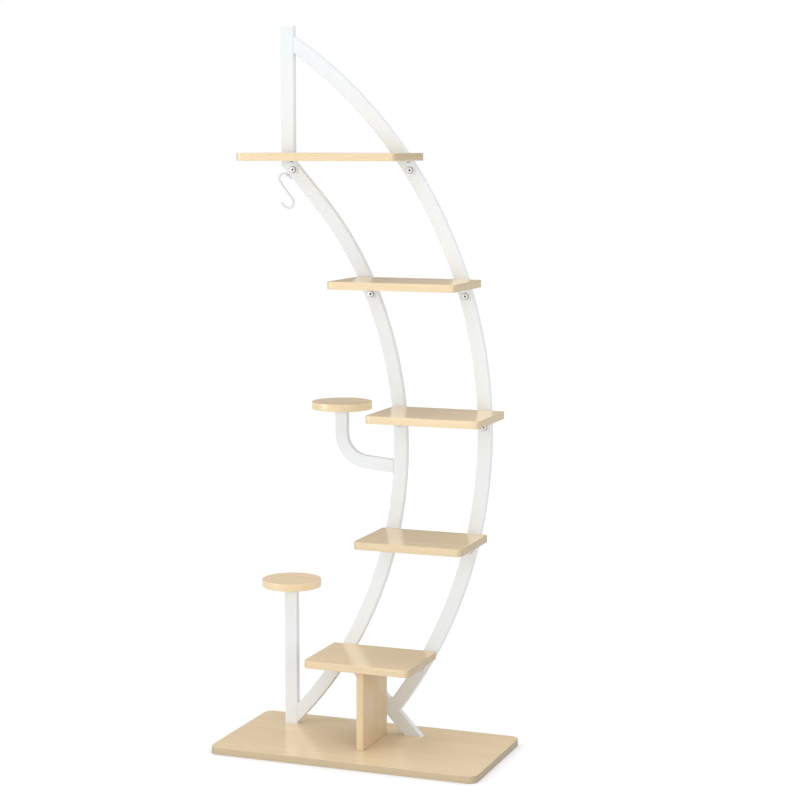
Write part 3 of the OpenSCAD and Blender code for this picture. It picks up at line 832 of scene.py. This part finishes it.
@dataclass
class BracketBolts:
    """Round-headed bolts through the brackets, each with a hexagon socket.

    drop is the bolts' distance below the brackets' tops. The head has a wall up to head_rim
    with a small edge below, a dome from head_r in to shoulder_r, a shallow crown, and a flat
    land round the socket. The socket has a widened mouth, and its floor ends in a drilled
    cone, whose tip is cone_share as wide.
    """

    stand: Stand
    brackets: Brackets
    drop: float = 20 * MM
    head_r: float = 7.25 * MM
    head_h: float = 3.2 * MM
    head_rim: float = 0.8 * MM
    head_edge: float = 0.2 * MM
    shoulder_r: float = 5.1 * MM
    shoulder_drop: float = 0.25 * MM
    crown_rise: float = 0.18 * MM
    land_r: float = 2.9 * MM
    dome_steps: int = 8
    socket: float = 4 * MM
    socket_mouth: float = 0.25 * MM
    socket_depth: float = 2 * MM
    cone_depth: float = 0.4 * MM
    cone_share: float = 0.25
    shank_r: float = 3 * MM
    shank_l: float = 10.3 * MM
    sides: int = 48

    def build(self) -> None:
        """Builds all the bolts as one piece, one bolt in the middle of each angle."""
        rings, socket_ring = self._bolt()
        shell = Shell()
        for number in SHELVES:
            _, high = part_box(f"shelf_{number}_brackets")
            for middle in self.brackets.middles(number):
                place = np.array([middle, high.y - self.brackets.plate, high.z - self.drop])
                shell.add_rings(rings + place, painted_shade_from=socket_ring)
        piece = shell.to_object("bracket_bolts_domed")
        self.stand.dress(piece, Slot.BOLTS, ("bracket_bolts",))
        # The second finish paints shade inside the sockets.
        piece.data.materials.append(self.stand.finishes.socket)

    def _bolt(self) -> tuple[np.ndarray, int]:
        """One bolt with its head towards -Y: shank, domed head and hexagon socket.

        Each ring is a radius and a height; the socket's rings take the radius of a hexagon,
        its half width over the cosine of the angle from the nearest flat.

        Returns:
            Array (rows, cols, 3) of rings round the shank's axis, and the ring at the socket's mouth.
        """
        turn = full_turn(self.sides)
        dome = quarter_turn(self.dome_steps)
        shoulder_h = self.head_h - self.shoulder_drop
        radius = np.concatenate([
            [self.shank_r, self.shank_r, self.head_r - self.head_edge, self.head_r],
            self.shoulder_r + (self.head_r - self.shoulder_r) * np.cos(dome),
            [(self.shoulder_r + self.land_r) / 2, self.land_r]])
        height = np.concatenate([
            [-self.shank_l, 0, 0, self.head_edge],
            self.head_rim + (shoulder_h - self.head_rim) * np.sin(dome),
            [shoulder_h + self.crown_rise, self.head_h],
            self.head_h - np.array([0, self.socket_mouth, self.socket_depth,
                                    self.socket_depth + self.cone_depth])])
        from_flat = (turn + np.pi / 6) % (np.pi / 3) - np.pi / 6
        hexagon = self.socket / 2 / np.cos(from_flat)
        round_rings = np.repeat(radius[:, None], self.sides, axis=1)
        socket = np.stack([hexagon + self.socket_mouth, hexagon, hexagon, hexagon * self.cone_share])
        radii = np.concatenate([round_rings, socket])
        rings = np.stack([radii * np.cos(turn), np.repeat(-height[:, None], self.sides, axis=1),
                          radii * np.sin(turn)], axis=2)
        return rings, len(round_rings) + 1


@dataclass
class HangingHook:
    """Wire S hook: two loops, a shank that is tangent to both, and straight round-ended tips.

    span is the distance between the loops' middles, on a line that leans by lean degrees.
    tip_turn is the angle, in degrees, at which the upper loop goes over into its tip, and
    tip_joint the distance from there to the tip's nearest point. shank_from is the share of the
    shank before its first point, ball_from the angle, in degrees, of the first ring round
    either end, and gap the play between the hook and the wire that it hangs on.
    """

    stand: Stand
    wire_r: float = 2.25 * MM
    loop_r: float = 12 * MM
    loop_points: int = 40
    span: float = 51.4 * MM
    lean: float = 10.2
    tip: float = 12 * MM
    tip_turn: float = 45.0
    tip_points: int = 6
    tip_joint: float = 0.5 * MM
    shank_points: int = 7
    shank_from: float = 0.1
    gap: float = 0.3 * MM
    eye_wire_r: float = 1.5 * MM
    ball_from: float = 8.0
    ball_points: int = 5
    sides: int = 20

    def build(self) -> None:
        """Builds the hook where it hangs from its joint."""
        x, y, z = self.stand.frame["joints"][0]["pos_m"]
        shell = Shell()
        shell.add_rings(self._wire(self._path(x, z), y))
        self.stand.dress(shell.to_object("s_hook_wire"), Slot.WIRE, ("s_hook",), Body.HOOK)

    def _path(self, x: float, z: float) -> np.ndarray:
        """Centreline from the upper tip to the lower one, in the plane of X and Z.

        The upper half is a straight tip, then a circle up to where the shank leaves it; the
        lower half is the upper one turned half round about the hook's middle.

        Args:
            x: the hook's pivot, along X.
            z: its height.

        Returns:
            Array (n, 2).
        """
        half = self.span / 2
        lean = math.radians(self.lean)
        inset = self.loop_r - self.wire_r - self.gap - self.eye_wire_r
        aside = half * math.sin(lean)
        centre = np.array([x - aside, z - math.sqrt(inset**2 - aside**2)])
        middle = np.array([x, centre[1] - half * math.cos(lean)])
        first = math.radians(self.tip_turn)
        last = math.pi + lean + math.asin(2 * self.loop_r / self.span)
        turn = np.linspace(first, last, self.loop_points)
        loop = centre + self.loop_r * np.stack([np.cos(turn), np.sin(turn)], axis=1)
        away = np.array([math.sin(first), -math.cos(first)])
        tip = loop[0] + away * np.linspace(self.tip - self.wire_r, self.tip_joint, self.tip_points)[:, None]
        upper = np.concatenate([tip, loop])
        lower = (2 * middle - upper)[::-1]
        share = np.linspace(self.shank_from, 1 - self.shank_from, self.shank_points)[:, None]
        return np.concatenate([upper, upper[-1] + (lower[0] - upper[-1]) * share, lower])

    def _wire(self, path: np.ndarray, y: float) -> np.ndarray:
        """Round wire along the path, with a half ball over either end.

        Args:
            path: array (n, 2) of the centreline.
            y: the plane of the path.

        Returns:
            Array (rows, cols, 3) of rings.
        """
        tangent = directions(path)
        ball = np.radians(np.linspace(self.ball_from, 90, self.ball_points + 1))[:-1]
        out = self.wire_r * np.cos(ball)[:, None]
        line = np.concatenate([path[0] - tangent[0] * out, path, (path[-1] + tangent[-1] * out)[::-1]])
        along = np.concatenate([
            np.repeat(tangent[:1], len(out), axis=0), tangent, np.repeat(tangent[-1:], len(out), axis=0)])
        radius = self.wire_r * np.concatenate([np.sin(ball), np.ones(len(path)), np.sin(ball)[::-1]])
        turn = full_turn(self.sides)
        side = np.stack([along[:, 1], -along[:, 0]], axis=1)
        x = line[:, :1] + side[:, :1] * radius[:, None] * np.cos(turn)
        z = line[:, 1:] + side[:, 1:] * radius[:, None] * np.cos(turn)
        return np.stack([x, y + radius[:, None] * np.sin(turn), z], axis=2)


@dataclass
class PostCap:
    """Moulded cap with a softly domed top, in the open end of the top post.

    skirt is the cap's height above the tube, crown the dome's part of it, and plug the width
    and depth of what goes into the tube. dome_inset is how far in from the cap's side each
    ring lies. The first ring is at the tube, and the others are dome_fall of the crown below
    the top.
    """

    stand: Stand
    corner: float = 2 * MM
    corner_steps: int = 8
    skirt: float = 1.5 * MM
    crown: float = 0.5 * MM
    dome_inset: tuple[float, ...] = (0.0, 0.0, 0.15 * MM, 0.45 * MM, 0.9 * MM, 1.6 * MM)
    dome_fall: tuple[float, ...] = (1.0, 0.6, 0.25, 0.08, 0.0)
    plug: tuple[float, float] = (26.4 * MM, 11.4 * MM)
    plug_corner: float = 1 * MM
    plug_steps: int = 6

    def build(self) -> None:
        """Builds the cap and its plug."""
        low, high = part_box("post_cap")
        fall = np.array(self.dome_fall) * self.crown
        height = high.z - self.skirt + np.concatenate([[0], self.skirt - fall])
        dome = round_outline(np.array(low.xy), np.array(high.xy), (self.corner,) * 2,
                             np.array(self.dome_inset), self.corner_steps)
        shell = Shell()
        shell.add_rings(at_heights(dome, height))
        middle = np.array((low.xy + high.xy) / 2)
        half = np.array(self.plug) / 2
        plug = round_outline(middle - half, middle + half, (self.plug_corner,) * 2, np.zeros(2),
                             self.plug_steps)
        shell.add_rings(at_heights(plug, np.array([low.z, high.z - self.skirt])))
        self.stand.dress(shell.to_object("post_cap_domed"), Slot.CAP, ("post_cap",))


@dataclass(frozen=True)
class Panel:
    """Square soft lamp that looks at a point, of a side in metres and a power in watts."""

    name: str
    place: Point
    aim: Point
    side: float
    power: float

    def build(self) -> None:
        """Adds the lamp."""
        data = bpy.data.lights.new(self.name, "AREA")
        data.size, data.energy = self.side, self.power
        lamp = add_object(self.name, data)
        lamp.location = self.place
        lamp.rotation_euler = (Vector(self.aim) - Vector(self.place)).to_track_quat("-Z", "Y").to_euler()


@dataclass(frozen=True)
class WideSun:
    """Lamp that lights every height alike; the angle that it fills, in degrees, softens its shadows."""

    name: str
    towards: Point
    strength: float
    spread: float

    def build(self) -> None:
        """Adds the lamp."""
        data = bpy.data.lights.new(self.name, "SUN")
        data.energy, data.angle = self.strength, math.radians(self.spread)
        add_object(self.name, data).rotation_euler = Vector(self.towards).to_track_quat("Z", "Y").to_euler()


@dataclass(frozen=True)
class Studio:
    """Camera at the photograph's angle, soft lamps, and a white floor and world.

    ambient is the world's strength as a lamp and seen_in_gloss its strength in reflections.
    The floor is floor_grey to light, and floor_seen_grey with floor_glow on top to the camera.
    Within painted_shadow_reach of the stand its glow falls to painted_shadow_tone of that, a painted
    contact shadow.
    """

    camera_at: Point = (1.5735, -3.9411, 1.2899)
    camera_down: float = 7.1636
    camera_aside: float = 20.769
    lens: float = 91.385
    sensor: float = 36.0
    clip_end: float = 100.0
    lamps: tuple[Panel | WideSun, ...] = (
        Panel("front_light", place=(-4.3, -3.7, 1.0), aim=(0.0, 0.0, 0.6), side=2.6, power=114.0),
        Panel("side_light", place=(4.2, -3.4, 1.2), aim=(0.0, 0.0, 0.7), side=2.6, power=70.0),
        WideSun("top_light", towards=(0.1, -0.16, 1.0), strength=1.1, spread=60.0),
    )
    ambient: float = 0.67
    seen_in_gloss: float = 0.3
    floor_size: float = 60.0
    floor_grey: float = 0.7
    floor_seen_grey: float = 0.4
    floor_glow: float = 0.63
    painted_shadow_reach: float = 45 * MM
    painted_shadow_tone: float = 0.35

    def build(self) -> None:
        """Builds camera, lamps, world and floor."""
        self._camera()
        for lamp in self.lamps:
            lamp.build()
        self._world()
        self._floor()
        bpy.context.scene.view_settings.view_transform = "Standard"

    def _camera(self) -> None:
        """Places the camera."""
        data = bpy.data.cameras.new("camera")
        data.lens, data.sensor_width = self.lens, self.sensor
        data.clip_end = self.clip_end
        camera = add_object("camera", data)
        camera.location = self.camera_at
        camera.rotation_euler = (math.radians(90 - self.camera_down), 0, math.radians(self.camera_aside))
        bpy.context.scene.camera = camera

    def _world(self) -> None:
        """White to the camera and through glass, dimmer as a lamp, dimmer still in gloss."""
        world = bpy.data.worlds.new("studio")
        world.use_nodes = True
        world.node_tree.nodes.clear()
        bpy.context.scene.world = world
        nodes = NodeTree(world.node_tree)
        rays = nodes.add("ShaderNodeLightPath", {})
        strength: float | bpy.types.NodeSocket = self.ambient
        for ray, seen in (("Is Camera Ray", 1.0), ("Is Transmission Ray", 1.0),
                          ("Is Glossy Ray", self.seen_in_gloss)):
            strength = nodes.reckon("MULTIPLY_ADD", rays[ray], seen - self.ambient, strength)
        background = nodes.add("ShaderNodeBackground", {"Color": (1, 1, 1, 1), "Strength": strength})
        nodes.add("ShaderNodeOutputWorld", {"Surface": background[0]})

    def _floor(self) -> None:
        """A pale floor that the camera sees white, apart from shadow, partly painted, where the stand
        touches it.
        """
        half = self.floor_size / 2
        corners = [(-half, -half, 0), (half, -half, 0), (half, half, 0), (-half, half, 0)]
        mesh = bpy.data.meshes.new("floor")
        mesh.from_pydata(corners, [], [(0, 1, 2, 3)])
        mesh.materials.append(self._floor_material())
        add_object("floor", mesh)

    def _floor_material(self) -> bpy.types.Material:
        """Matt grey, with a glow that only the camera sees and that fades close to the stand as a painted
        contact shadow.

        Returns:
            The material.
        """
        material, nodes = new_material("studio_floor")
        rays = nodes.add("ShaderNodeLightPath", {})
        seen = nodes.reckon("MAXIMUM", rays["Is Camera Ray"], rays["Is Transmission Ray"])
        # Painted shadow: ambient occlusion dims the glow close to the stand.
        painted_shadow = nodes.add("ShaderNodeAmbientOcclusion", {"Distance": self.painted_shadow_reach})
        tone = nodes.add("ShaderNodeMapRange", {"Value": painted_shadow["AO"], "To Min": self.painted_shadow_tone})
        level = nodes.reckon("MULTIPLY", nodes.reckon("MULTIPLY", seen, self.floor_glow), tone["Result"])
        glow = nodes.add("ShaderNodeEmission", {"Strength": level})
        grey = nodes.add("ShaderNodeMapRange", {
            "Value": seen, "To Min": self.floor_grey, "To Max": self.floor_seen_grey})
        matt = nodes.add("ShaderNodeBsdfDiffuse", {"Color": grey["Result"]})
        both = nodes.add("ShaderNodeAddShader", {0: glow[0], 1: matt[0]})
        nodes.add("ShaderNodeOutputMaterial", {"Surface": both[0]})
        return material


def clear_scene() -> None:
    """Removes whatever a new Blender scene starts with."""
    for obj in list(bpy.data.objects):
        bpy.data.objects.remove(obj)


def main() -> None:
    """Builds the stand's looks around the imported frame."""
    logging.basicConfig(level=logging.INFO, format="%(name)s %(message)s")
    clear_scene()
    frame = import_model()
    Studio().build()
    stand = Stand(frame, Finishes())
    brackets = Brackets(stand)
    parts = (Boards(stand), brackets, BracketBolts(stand, brackets), HangingHook(stand), PostCap(stand))
    for part in parts:
        part.build()
    stand.dress_frame()


if __name__ == "__main__":
    main()
